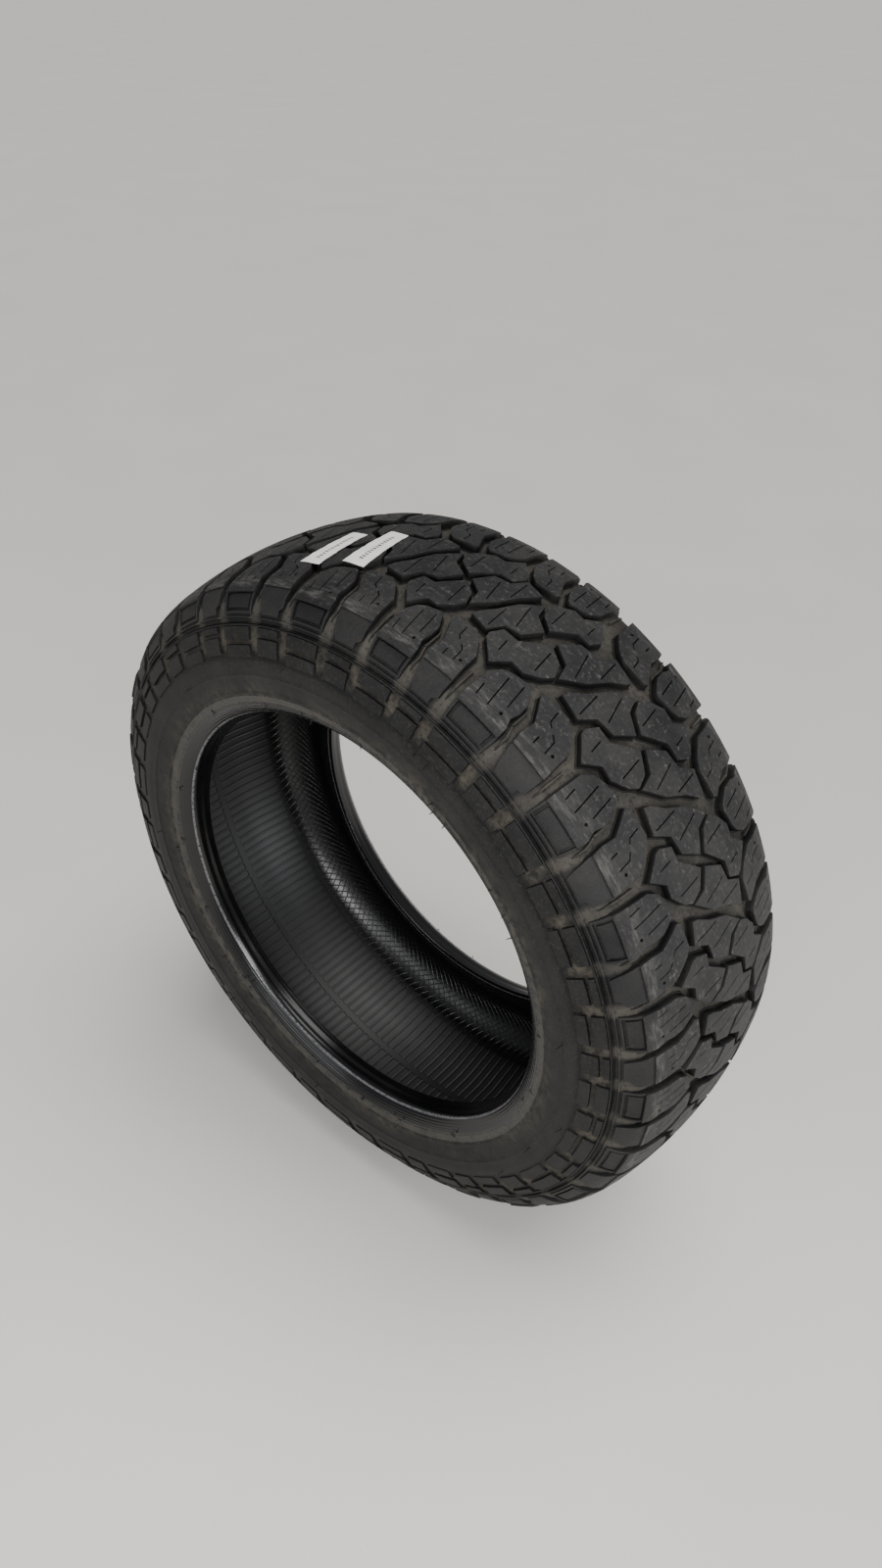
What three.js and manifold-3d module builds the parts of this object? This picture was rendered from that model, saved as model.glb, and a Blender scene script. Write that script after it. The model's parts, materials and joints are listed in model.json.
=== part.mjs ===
// A light-truck rugged-terrain tyre, 275/55 R20 class, taken apart into the components it is built from.
// Millimetres. The tyre's axis is Y, +Z is up, and the origin is the centre of the wheel.
// "near" is the -Y side and "far" is the +Y side. Outlines are lists of [y, r], r from the axis.
import * as THREE from "three";
import { mergeVertices } from "three/addons/utils/BufferGeometryUtils.js";
import Module from "manifold-3d";

const wasm = await Module();
wasm.setup();

// Driving dimensions.
const outerRadius = 400; // over the tread blocks, at the crown
const crownRadius = 440; // curve of the tread across its width
const groundZ = -397.6; // the tread is pressed flat here, where the tyre stands
const segments = 28; // facets round every ring
const gap = 0.3; // left between two components that touch
const innerCrown = 371.8; // radius of the liner's inside face, at the crown
const gauges = { liner: 1.8, bodyPly: 1.2, belt: 1.2, nylon: 0.8, treadBase: 1.6 };
const halfWidths = { lowerBelt: 98, upperBelt: 92, capPly: 100, capStrip: 100, treadBase: 102 };
const beadCore = { y: 114, r: 264, size: 5 };

// Tread pattern. A pitch is one repeat of the blocks; three lengths alternate to spread the noise.
const pitchDegrees = { S: 14.4, M: 15.8, L: 17.6 };
const pitchOrder = "MMSLLMSSMLSSMLLSSMSLSMS";
const firstPitchAt = -24.5; // degrees from the top, towards +X

// Blocks of one pitch. Each row is [s, from, to]: s is the distance along the surface from the
// middle of the tread towards the near side, and from and to are fractions of the pitch.
const blocks = {
  shoulderNarrow: [[59, 0.14, 0.42], [118, 0.08, 0.49], [141, 0.08, 0.49]],
  shoulderWide: [[53, 0.5, 0.78], [118, 0.6, 0.96], [141, 0.66, 0.96]],
  inner: [[9, 0.14, 0.27], [33, -0.1, 0.41], [66, -0.06, 0.08]],
  centre: [[-39, 0.55, 0.76], [-8, 0.28, 0.64], [29, 0.38, 0.47]],
};
const turnedAbout = 0.65; // the far half is the near half turned half round at this fraction

// Surface of the blocks past the crown's curve, and the line inside the tread their roots reach.
const shoulder = [[101, 100, 388.5], [121, 118, 380], [134.5, 126, 369], [149, 130.5, 355]];
const roots = [
  [0, 0, 385],
  [38, 38, 385],
  [59, 58, 382.4],
  [118, 108.5, 373.6],
  [141, 122, 360.5],
];

// The liner's inside face on the far side, from the crown to the bead.
const cavity = [
  [38, innerCrown],
  [103, 358.5],
  [126, 332],
  [128.5, 308],
  [109.5, 276],
  [103.5, 261],
];

// Moves a polyline sideways by d, with mitred corners. Positive d is away from the cavity.
function offset(line, d) {
  const normals = line.slice(1).map(([y, r], i) => {
    const [y0, r0] = line[i];
    const length = Math.hypot(y - y0, r - r0);
    return [-(r - r0) / length, (y - y0) / length];
  });
  return line.map(([y, r], i) => {
    const before = normals[Math.max(0, i - 1)];
    const after = normals[Math.min(i, normals.length - 1)];
    const sum = [before[0] + after[0], before[1] + after[1]];
    const scale = (2 * d) / (sum[0] ** 2 + sum[1] ** 2);
    return [y + sum[0] * scale, r + sum[1] * scale];
  });
}

const mirrored = (line) => line.map(([y, r]) => [-y, r]);

// A line drawn for the far side, continued on the near side: near end, crown, far end.
const bothSides = (line) => [...mirrored(line).reverse(), ...line];

// The outline of a layer between two distances outside a line.
const layer = (line, from, to) => [...offset(line, from), ...offset(line, to).reverse()];

// A ring round the tyre's axis from a closed outline, given in either direction.
function ring(outline) {
  const area = outline.reduce((sum, [y, r], i) => {
    const [nextY, nextR] = outline[(i + 1) % outline.length];
    return sum + (r * nextY - nextR * y);
  }, 0);
  const ordered = area > 0 ? outline : [...outline].reverse();
  const points = [...ordered, ordered[0]].map(([y, r]) => new THREE.Vector2(r, y));
  return new THREE.LatheGeometry(points, segments);
}

// The point [y, r] at distance s along a table of [s, y, r], on the side that s is on.
function along(table, s) {
  const distance = Math.abs(s);
  const next = Math.max(1, table.findIndex(([at]) => at >= distance));
  const [s0, y0, r0] = table[next - 1];
  const [s1, y1, r1] = table[next];
  const t = (distance - s0) / (s1 - s0);
  return [-Math.sign(s) * (y0 + (y1 - y0) * t), r0 + (r1 - r0) * t];
}

// The tread's running surface at distance s from its middle.
function surfaceAt(s) {
  if (Math.abs(s) > shoulder[0][0]) {
    return along(shoulder, s);
  }
  const angle = s / crownRadius;
  return [-crownRadius * Math.sin(angle), outerRadius - crownRadius * (1 - Math.cos(angle))];
}

const rootAt = (s) => along(roots, s);

// A block that bridges rows of [s, from, to] in degrees round the tyre, between two surfaces.
function block(rows, top, bottom) {
  const corners = rows.flatMap(([s, from, to]) =>
    [[top, from], [top, to], [bottom, to], [bottom, from]].flatMap(([surface, degrees]) => {
      const [y, r] = surface(s);
      const angle = THREE.MathUtils.degToRad(degrees);
      return [r * Math.sin(angle), y, r * Math.cos(angle)];
    }),
  );
  const faces = [];
  const quad = (a, b, c, d) => faces.push(a, b, c, a, c, d);
  for (let row = 0; row < rows.length - 1; row += 1) {
    for (let side = 0; side < 4; side += 1) {
      const next = (side + 1) % 4;
      quad(4 * row + side, 4 * row + 4 + side, 4 * row + 4 + next, 4 * row + next);
    }
  }
  const last = 4 * (rows.length - 1);
  quad(0, 1, 2, 3);
  quad(last + 3, last + 2, last + 1, last);
  const geometry = new THREE.BufferGeometry();
  geometry.setAttribute("position", new THREE.Float32BufferAttribute(corners, 3));
  geometry.setIndex(faces);
  return geometry;
}

// Merges a geometry's vertices by position and makes it a solid.
function solidOf(geometry) {
  const bare = geometry.clone();
  bare.deleteAttribute("normal");
  bare.deleteAttribute("uv");
  const merged = mergeVertices(bare, 1e-4);
  const mesh = new wasm.Mesh({
    numProp: 3,
    vertProperties: merged.attributes.position.array,
    triVerts: new Uint32Array(merged.index.array),
  });
  return new wasm.Manifold(mesh);
}

function geometryOf(solid) {
  const mesh = solid.getMesh();
  const geometry = new THREE.BufferGeometry();
  geometry.setAttribute("position", new THREE.Float32BufferAttribute(mesh.vertProperties, 3));
  geometry.setIndex([...mesh.triVerts]);
  return geometry;
}

// Materials, by what the piece is made of.
const rubber = (color, roughness) => new THREE.MeshStandardMaterial({ color, roughness, metalness: 0 });
const materials = {
  tread: rubber(0x2f2f31, 0.75),
  sidewall: rubber(0x2e2d2c, 0.7),
  chafer: rubber(0x1c1c1e, 0.45),
  liner: rubber(0x151517, 0.4),
  stiff: rubber(0x242424, 0.8),
  cord: rubber(0x6b5a44, 0.8),
  nylon: rubber(0xb9b2a0, 0.8),
  steel: new THREE.MeshStandardMaterial({ color: 0xb08d57, roughness: 0.35, metalness: 1 }),
  paper: rubber(0xf2f2ee, 0.6),
};

const tyre = new THREE.Group();

function add(name, geometry, material) {
  const mesh = new THREE.Mesh(geometry, material.clone());
  mesh.name = name;
  tyre.add(mesh);
}

// Adds a component that the tyre has on each side, from its far outline.
function addPair(name, outline, material) {
  add(`${name}_near`, ring(mirrored(outline)), material);
  add(`${name}_far`, ring(outline), material);
}

// Inner liner: the airtight layer.
add("inner_liner", ring(layer(bothSides(cavity), 0, gauges.liner)), materials.liner);

// Inner body ply: down inside the bead core, under it, and turned up outside the filler.
const firstPlyFrom = gauges.liner + gap;
const firstPlyMiddle = firstPlyFrom + gauges.bodyPly / 2;
const underCore = [
  [107.7, 264],
  [110.7, 258.4],
  [117.3, 258.4],
  [120.6, 264],
];
const turnUp = [
  [123, 272],
  [131.8, 297],
];
const firstPly = bothSides([...offset(cavity, firstPlyMiddle).slice(0, -1), ...underCore, ...turnUp]);
const halfPly = gauges.bodyPly / 2;
add("body_ply_inner", ring(layer(firstPly, -halfPly, halfPly)), materials.cord);

// Outer body ply: down outside the turned-up end of the inner one.
const secondPlyFrom = firstPlyFrom + gauges.bodyPly + gap;
const plyEnd = [
  [134.3, 299],
  [124.8, 271.8],
  [122.5, 261],
];
const secondPlyMiddle = secondPlyFrom + gauges.bodyPly / 2;
const secondPly = [...offset(cavity, secondPlyMiddle).slice(0, 3), ...plyEnd];
add("body_ply_outer", ring(layer(bothSides(secondPly), -halfPly, halfPly)), materials.cord);
const plyTop = secondPlyFrom + gauges.bodyPly;

// Bead cores: hexagonal bundles of wire.
const hexagon = [0, 60, 120, 180, 240, 300].map((degrees) => {
  const angle = THREE.MathUtils.degToRad(degrees);
  return [beadCore.y + beadCore.size * Math.cos(angle), beadCore.r + beadCore.size * Math.sin(angle)];
});
addPair("bead_core", hexagon, materials.steel);

// Bead fillers: hard rubber wedges on top of the cores.
addPair("bead_filler", [[111.6, 269.2], [119.8, 269.2], [128.8, 296.5]], materials.stiff);

// Chafers: the rubber that meets the rim, wrapped round the bead from toe to flange.
const chafer = [
  [101.9, 259.9],
  [102, 248.3],
  [121.5, 253.4],
  [125, 256],
  [133, 264.5],
  [134.9, 277.4],
  [128.9, 279.4],
  [126, 271],
  [123.9, 259.6],
  [118.4, 257],
  [109.6, 257],
  [105.4, 259.9],
];
addPair("chafer", chafer, materials.chafer);

// Sidewalls: from the chafer up under the edge of the tread, flat where they bulge most.
const sidewallInside = offset(secondPly, halfPly + gap);
const sidewall = [
  [135.1, 277.9],
  [141, 303],
  [141, 317],
  [138.6, 335],
  [130, 354],
  [126.2, 353.6],
  [110.8, 365],
  sidewallInside[1],
  sidewallInside[2],
  sidewallInside[3],
  [129.2, 280.2],
];
addPair("sidewall", sidewall, materials.sidewall);

// Crown layers are flat in the middle and slope to their edges. The tread base slopes less, to
// leave room over the edges of the belts.
const flatHalf = 38;
const beltSlope = 0.171;
const baseSlope = 0.142;
const crownLine = (r, slope, halfWidth) => [
  [flatHalf, r],
  [halfWidth, r - slope * (halfWidth - flatHalf)],
];

// The outline of a crown layer across the whole tread, of even radial gauge.
function crownLayer(radius, gauge, slope, halfWidth) {
  const under = bothSides(crownLine(radius, slope, halfWidth));
  const over = bothSides(crownLine(radius + gauge, slope, halfWidth));
  return [...under, ...over.reverse()];
}

const lowerBeltAt = innerCrown + plyTop + gap;
const upperBeltAt = lowerBeltAt + gauges.belt + gap;
const capPlyAt = upperBeltAt + gauges.belt + gap;
const treadBaseAt = capPlyAt + gauges.nylon + gap;
const treadAt = treadBaseAt + gauges.treadBase + gap;
const lowerBelt = crownLayer(lowerBeltAt, gauges.belt, beltSlope, halfWidths.lowerBelt);
const upperBelt = crownLayer(upperBeltAt, gauges.belt, beltSlope, halfWidths.upperBelt);
const capPly = crownLayer(capPlyAt, gauges.nylon, beltSlope, halfWidths.capPly);
const treadBase = crownLayer(treadBaseAt, gauges.treadBase, baseSlope, halfWidths.treadBase);
add("belt_lower", ring(lowerBelt), materials.steel);
add("belt_upper", ring(upperBelt), materials.steel);
add("cap_ply", ring(capPly), materials.nylon);
add("tread_base", ring(treadBase), materials.stiff);

// Nylon strips over the belts' edges, on top of the cap ply.
const slopedR = (radius, y) => radius - beltSlope * (y - flatHalf);
const stripFrom = 76;
const capStrip = [
  [stripFrom, slopedR(treadBaseAt, stripFrom)],
  [halfWidths.capStrip, slopedR(treadBaseAt, halfWidths.capStrip)],
  [halfWidths.capStrip, slopedR(treadBaseAt + gauges.nylon, halfWidths.capStrip)],
  [stripFrom, slopedR(treadBaseAt + gauges.nylon, stripFrom)],
];
addPair("cap_strip", capStrip, materials.nylon);

// Rubber wedges under the belts' edges, on top of the outer body ply.
const wedgeInside = offset(cavity, plyTop + gap);
const wedgeR = (y) => {
  const t = (y - wedgeInside[0][0]) / (wedgeInside[1][0] - wedgeInside[0][0]);
  return wedgeInside[0][1] + (wedgeInside[1][1] - wedgeInside[0][1]) * t;
};
const wedgeFrom = 60;
const wedgeTo = 101.5;
const pastBelt = halfWidths.lowerBelt + 0.4;
const wedge = [
  [wedgeFrom, wedgeR(wedgeFrom)],
  [wedgeTo, wedgeR(wedgeTo)],
  [wedgeTo, 368.4],
  [pastBelt, 368.4],
  [pastBelt, slopedR(lowerBeltAt - gap, pastBelt)],
  [wedgeFrom, slopedR(lowerBeltAt - gap, wedgeFrom)],
];
addPair("belt_wedge", wedge, materials.stiff);

// Tread: a ring that the grooves' floors lie on, with the blocks standing on it.
const treadUnder = [
  ...crownLine(treadAt, baseSlope, halfWidths.treadBase + gap),
  [halfWidths.treadBase + gap, 366.2],
  [110.9, 365.5],
  [126.3, 354.2],
  [130, 354.6],
];
const treadFloor = [
  [38, 388.9],
  [107, 379],
  [126, 361.5],
  [130, 356],
];
const pitches = [...pitchOrder].map((size) => pitchDegrees[size]);
const turn = pitches.reduce((sum, degrees) => sum + degrees, 0);
const pieces = [solidOf(ring([...bothSides(treadUnder), ...bothSides(treadFloor).reverse()]))];
let pitchStart = firstPitchAt;
for (const degrees of pitches) {
  const pitch = (degrees * 360) / turn;
  const start = pitchStart;
  const at = (fraction) => start + fraction * pitch;
  for (const rows of Object.values(blocks)) {
    const near = rows.map(([s, from, to]) => [s, at(from), at(to)]);
    const far = rows
      .map(([s, from, to]) => [-s, at(2 * turnedAbout - to), at(2 * turnedAbout - from)])
      .reverse();
    pieces.push(solidOf(block(near, surfaceAt, rootAt)), solidOf(block(far, surfaceAt, rootAt)));
  }
  pitchStart += pitch;
}
const ground = wasm.Manifold.cube([outerRadius, outerRadius, outerRadius], true);
const below = ground.translate([0, 0, groundZ - outerRadius / 2]);
const pressed = wasm.Manifold.union(pieces).subtract(below).simplify(0.1);
add("tread", geometryOf(pressed), materials.tread);

// Paper size labels stuck across the tread. Rows as for the blocks, in degrees from the top.
const labels = {
  size_label_left: [[0, -12.3, -9.4], [35, -12.6, -9.3], [70, -13, -9.2]],
  size_label_right: [[-18, -7.1, -3.9], [19, -6.8, -3.2], [56, -6.5, -2.5]],
};
const above = (height) => (s) => {
  const [y, r] = surfaceAt(s);
  return [y, r + height];
};
for (const [name, rows] of Object.entries(labels)) {
  add(name, block(rows, above(0.9), above(0.6)), materials.paper);
}

export default tyre;
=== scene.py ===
import json
import math
import random
import bpy
import numpy as np
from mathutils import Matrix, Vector


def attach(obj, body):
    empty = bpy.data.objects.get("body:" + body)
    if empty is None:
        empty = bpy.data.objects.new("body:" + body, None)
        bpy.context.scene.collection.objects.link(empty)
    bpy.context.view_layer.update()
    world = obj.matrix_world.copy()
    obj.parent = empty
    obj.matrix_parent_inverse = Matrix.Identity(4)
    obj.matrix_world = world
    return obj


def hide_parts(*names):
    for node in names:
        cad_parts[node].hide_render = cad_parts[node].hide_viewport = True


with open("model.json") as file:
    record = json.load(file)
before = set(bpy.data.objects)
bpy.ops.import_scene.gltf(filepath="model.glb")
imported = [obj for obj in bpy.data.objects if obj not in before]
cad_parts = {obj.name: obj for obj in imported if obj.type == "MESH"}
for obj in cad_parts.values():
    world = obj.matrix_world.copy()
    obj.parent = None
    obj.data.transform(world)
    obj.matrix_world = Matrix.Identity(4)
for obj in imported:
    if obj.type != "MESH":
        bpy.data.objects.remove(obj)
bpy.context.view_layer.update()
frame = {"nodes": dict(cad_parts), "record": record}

mm = 0.001
random.seed(7)

# The tyre's axis is Y and the origin is the wheel's centre. Lengths here are millimetres.
# A place on the outside is given by s, the way along the surface from the middle of the tread,
# plus on the near side (-Y), and by h, the height above the worn surface.
tyreShape = {
    "outerRadius": 400.0,
    "crownRadius": 440.0,
    "groundZ": -397.6,
    "steps": 480,              # round each ring
    "pitchDegrees": {"S": 14.4, "M": 15.8, "L": 17.6},
    "pitchOrder": "MMSLLMSSMLSSMLLSSMSLSMS",
    "firstPitchAt": -24.5,
    "pitchLength": 110.0,      # of a middle pitch, along the tread
    "turnedAbout": 0.655,      # the far half is the near half turned round here
    "slotsAt": (0.017, 0.545), # where slots part the shoulder blocks, as fractions of a pitch
    "slotEdge": (5.5, 10),     # from a slot's middle to where its dust starts to fade, and ends
    "facetShrink": math.cos(math.pi / 28),     # how far the sealed rings' flats lie inside
}
# s, y and r past the crown's arc, down to the rim line
wallPoints = [(110, 109, 385), (120, 117.3, 380), (130, 123.3, 372), (140, 127.3, 362.9),
              (150, 130.8, 353.5), (160, 134.3, 344.2), (170, 137, 334.6), (180, 139.2, 325),
              (190, 140.6, 315), (200, 140.4, 305), (210, 139, 295.2), (220, 137.1, 285.6),
              (230, 135.1, 276), (240, 133, 267), (250, 130.9, 258)]


def smoothed(values, width):
    # a running mean taken three times, with the ends left as they are
    values, margin = values.copy(), width // 2
    for repeat in range(3):
        values[margin:-margin] = np.convolve(values, np.ones(width) / width, "valid")
    return values


def makeProfileTable():
    # s, y, r and the outward direction at every millimetre of s
    crown = tyreShape["crownRadius"]
    points = []
    for s in range(-20, 101, 5):
        a = s / crown
        drop = crown * (1 - math.cos(a))
        points.append((s, crown * math.sin(a), tyreShape["outerRadius"] - drop))
    points += wallPoints
    s, y, r = np.array(points, float).T
    fine = np.arange(-20, 250, 1.0)
    y, r = smoothed(np.interp(fine, s, y), 9), smoothed(np.interp(fine, s, r), 9)
    dy, dr = np.gradient(y), np.gradient(r)
    length = np.hypot(dy, dr)
    return fine, y, r, -dr / length, dy / length


profileTable = makeProfileTable()


def placeAt(s, h):
    # y and r at s and h, both numpy arrays
    fine, y, r, ny, nr = profileTable
    away = np.abs(s)
    side = np.where(s < 0, 1.0, -1.0)
    yy = np.interp(away, fine, y) + np.interp(away, fine, ny) * h
    rr = np.interp(away, fine, r) + np.interp(away, fine, nr) * h
    return side * yy, rr


def selectOnly(piece):
    bpy.ops.object.select_all(action="DESELECT")
    piece.select_set(True)
    bpy.context.view_layer.objects.active = piece


def newObject(name, vertices, edges, faces):
    mesh = bpy.data.meshes.new(name)
    mesh.from_pydata(vertices, edges, faces)
    piece = bpy.data.objects.new(name, mesh)
    bpy.context.scene.collection.objects.link(piece)
    selectOnly(piece)
    return piece


def setFloats(mesh, name, values):
    attribute = mesh.attributes.new(name, "FLOAT", "POINT")
    attribute.data.foreach_set("value", np.asarray(values, np.float32))


def vertexArray(mesh):
    points = np.empty(len(mesh.vertices) * 3, np.float32)
    mesh.vertices.foreach_get("co", points)
    return points.reshape(-1, 3).astype(float)


def spinRing(name, outline):
    # a closed ring from an outline of (y, r), or of (y, r, s, h) where the material needs s and h
    outline = np.array(outline, float)
    points = [(0, y * mm, r * mm) for y, r in outline[:, :2]]
    edges = [(i, (i + 1) % len(points)) for i in range(len(points))]
    piece = newObject(name, points, edges, [])
    bpy.ops.object.mode_set(mode="EDIT")
    bpy.ops.mesh.select_all(action="SELECT")
    bpy.ops.mesh.spin(steps=tyreShape["steps"], angle=2 * math.pi, center=(0, 0, 0), axis=(0, 1, 0))
    bpy.ops.mesh.select_all(action="SELECT")
    bpy.ops.mesh.remove_doubles(threshold=0.02 * mm)
    bpy.ops.mesh.normals_make_consistent(inside=False)
    bpy.ops.object.mode_set(mode="OBJECT")
    if outline.shape[1] == 4:
        markRing(piece.data, outline)
    bpy.ops.object.shade_smooth_by_angle(angle=math.radians(35))
    return piece


def markRing(mesh, outline):
    # gives each vertex the s and h of the outline point that it was spun from
    place = vertexArray(mesh) / mm
    ring = np.stack([place[:, 1], np.hypot(place[:, 0], place[:, 2])], 1)
    nearest = np.empty(len(ring), int)
    batch = 4000
    for start in range(0, len(ring), batch):
        part = ring[start:start + batch]
        distance = ((part[:, None, :] - outline[None, :, :2]) ** 2).sum(2)
        nearest[start:start + batch] = np.argmin(distance, 1)
    setFloats(mesh, "across", np.abs(outline[nearest, 2]))
    setFloats(mesh, "below", -outline[nearest, 3])
    setFloats(mesh, "slot", slotNearness(place))


def outsidePoints(rows):
    # rows of (s, h) as rows of (y, r, s, h)
    rows = np.array(rows, float)
    y, r = placeAt(rows[:, 0], rows[:, 1])
    return [(y[i], r[i], rows[i, 0], rows[i, 1]) for i in range(len(rows))]


def pitchStarts():
    # where each pitch starts and how far it reaches, in degrees
    order = tyreShape["pitchOrder"]
    sizes = [tyreShape["pitchDegrees"][kind] for kind in order]
    turn = 360 / sum(sizes)
    start, result = tyreShape["firstPitchAt"], []
    for degrees in sizes:
        result.append((start, degrees * turn))
        start += degrees * turn
    return result


def slotNearness(place):
    # 1 in line with the slots between shoulder blocks, where dust gathers, and 0 elsewhere
    starts = pitchStarts()
    edges = np.array([start for start, degrees in starts] + [starts[0][0] + 360])
    angle = np.degrees(np.arctan2(place[:, 0], place[:, 2]))
    angle = (angle - edges[0]) % 360 + edges[0]
    index = np.clip(np.searchsorted(edges, angle, "right") - 1, 0, len(starts) - 1)
    u = (angle - edges[index]) / (edges[index + 1] - edges[index])
    u = np.where(place[:, 1] < 0, u, (2 * tyreShape["turnedAbout"] - u) % 1)
    first, second = tyreShape["slotsAt"]
    away = np.minimum(np.minimum(np.abs(u - first), np.abs(u - (1 + first))), np.abs(u - second))
    return 1 - smoothStep(away * tyreShape["pitchLength"], *tyreShape["slotEdge"])


def smoothStep(x, low, high):
    t = np.clip((x - low) / (high - low), 0, 1)
    return t * t * (3 - 2 * t)


# blocks, modelled flat: x along the tread, y = -s, z = h, all in millimetres
blockShape = {
    "topMargin": 0.2,      # how far a top stays inside its outline
    "firstRise": 1.0,      # straight wall at the root, inside the ring
    "cutterTop": 3.0,      # how far a cutter stands above the top
    "pinRadius": 1.7,
    "pinDepth": 3.0,
}


def widened(outline, distance):
    # an outline moved outwards all round, its corners mitred
    points = np.array(outline, float)
    before, after = np.roll(points, 1, 0), np.roll(points, -1, 0)
    area = np.sum(points[:, 0] * after[:, 1] - after[:, 0] * points[:, 1])
    side = 1 if area > 0 else -1
    result = []
    for p, a, b in zip(points, before, after):
        n1 = np.array([(p - a)[1], -(p - a)[0]]) / np.linalg.norm(p - a) * side
        n2 = np.array([(b - p)[1], -(b - p)[0]]) / np.linalg.norm(b - p) * side
        total = n1 + n2
        result.append(p + total * 2 * distance / max(0.6, total @ total))
    return result if area > 0 else result[::-1]


def flatBlock(name, outline, root, steps, sunk=()):
    # an outline face raised from root through (thickness, depth) insets, and its top sunk by more
    spread = sum(thickness for thickness, depth in steps) - blockShape["topMargin"]
    wide = widened([(u * tyreShape["pitchLength"], -s) for u, s in outline], spread)
    piece = newObject(name, [(x, y, root) for x, y in wide], [], [list(range(len(wide)))])
    bpy.ops.object.mode_set(mode="EDIT")
    bpy.ops.mesh.select_all(action="SELECT")
    rise = (0, 0, blockShape["firstRise"])
    bpy.ops.mesh.extrude_region_move(TRANSFORM_OT_translate={"value": rise})
    for thickness, depth in [*steps, *sunk]:
        bpy.ops.mesh.inset(thickness=thickness, depth=depth, use_even_offset=True)
    bpy.ops.mesh.select_all(action="SELECT")
    bpy.ops.mesh.normals_make_consistent(inside=False)
    bpy.ops.object.mode_set(mode="OBJECT")
    return piece


def thinSlot(path, width, depth):
    # a closed blade that follows a path of (u, s)
    points = [np.array([u * tyreShape["pitchLength"], -s]) for u, s in path]
    sides = [[], []]
    for i, p in enumerate(points):
        along = points[min(i + 1, len(points) - 1)] - points[max(i - 1, 0)]
        along = along / np.linalg.norm(along)
        out = np.array([-along[1], along[0]]) * width / 2
        sides[0].append(p + out)
        sides[1].append(p - out)
    loop = sides[0] + sides[1][::-1]
    count = len(loop)
    vertices = [(x, y, z) for z in (blockShape["cutterTop"], -depth) for x, y in loop]
    faces = [[i + count, (i + 1) % count + count, (i + 1) % count, i] for i in range(count)]
    half = len(points)
    for i in range(half - 1):
        a, b, c, d = i, i + 1, count - 2 - i, count - 1 - i
        faces += [[a, b, c, d], [d + count, c + count, b + count, a + count]]
    return vertices, faces


def cutSlots(piece, sipes, pins, width, depth):
    # cuts sipes and round pin holes into a flat block
    vertices, faces = [], []
    for path in sipes:
        v, f = thinSlot(path, width, depth)
        faces += [[i + len(vertices) for i in face] for face in f]
        vertices += v
    count, radius = 8, blockShape["pinRadius"]
    for u, s in pins:
        base = len(vertices)
        x, y = u * tyreShape["pitchLength"], -s
        for z in (blockShape["cutterTop"], -blockShape["pinDepth"]):
            for i in range(count):
                turn = i * math.pi / 4
                vertices.append((x + radius * math.cos(turn), y + radius * math.sin(turn), z))
        for i in range(count):
            a, b = base + i, base + (i + 1) % count
            faces.append([a + count, b + count, b, a])
        faces.append([base + i for i in range(count)])
        faces.append([base + count + i for i in reversed(range(count))])
    blade = newObject("blade", vertices, [], faces)
    bpy.ops.object.mode_set(mode="EDIT")
    bpy.ops.mesh.select_all(action="SELECT")
    bpy.ops.mesh.normals_make_consistent(inside=False)
    bpy.ops.object.mode_set(mode="OBJECT")
    selectOnly(piece)
    cut = piece.modifiers.new("sipes", "BOOLEAN")
    cut.operation, cut.solver, cut.object = "DIFFERENCE", "EXACT", blade
    bpy.ops.object.modifier_apply(modifier=cut.name)
    bpy.data.objects.remove(blade)


def sliceFlat(piece, every):
    # cuts across both ways, so that the block can follow the tyre's curve
    place = vertexArray(piece.data)
    selectOnly(piece)
    bpy.ops.object.mode_set(mode="EDIT")
    for axis in (0, 1):
        low, high = place[:, axis].min(), place[:, axis].max()
        count = max(2, round((high - low) / every[axis]))
        normal = (1, 0, 0) if axis == 0 else (0, 1, 0)
        for i in range(1, count):
            at = low + (high - low) * i / count
            co = (at, 0, 0) if axis == 0 else (0, at, 0)
            bpy.ops.mesh.select_all(action="SELECT")
            bpy.ops.mesh.bisect(plane_co=co, plane_no=normal)
    bpy.ops.object.mode_set(mode="OBJECT")


def facesOf(mesh):
    sizes = np.empty(len(mesh.polygons), np.int32)
    mesh.polygons.foreach_get("loop_total", sizes)
    corners = np.empty(len(mesh.loops), np.int32)
    mesh.loops.foreach_get("vertex_index", corners)
    return sizes, corners


# The pattern's middle lies a little off the tyre's, and the shift fades out over the shoulders.
patternShift = {"near": 2.5, "far": 7.5, "fade": (62, 108)}


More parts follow.
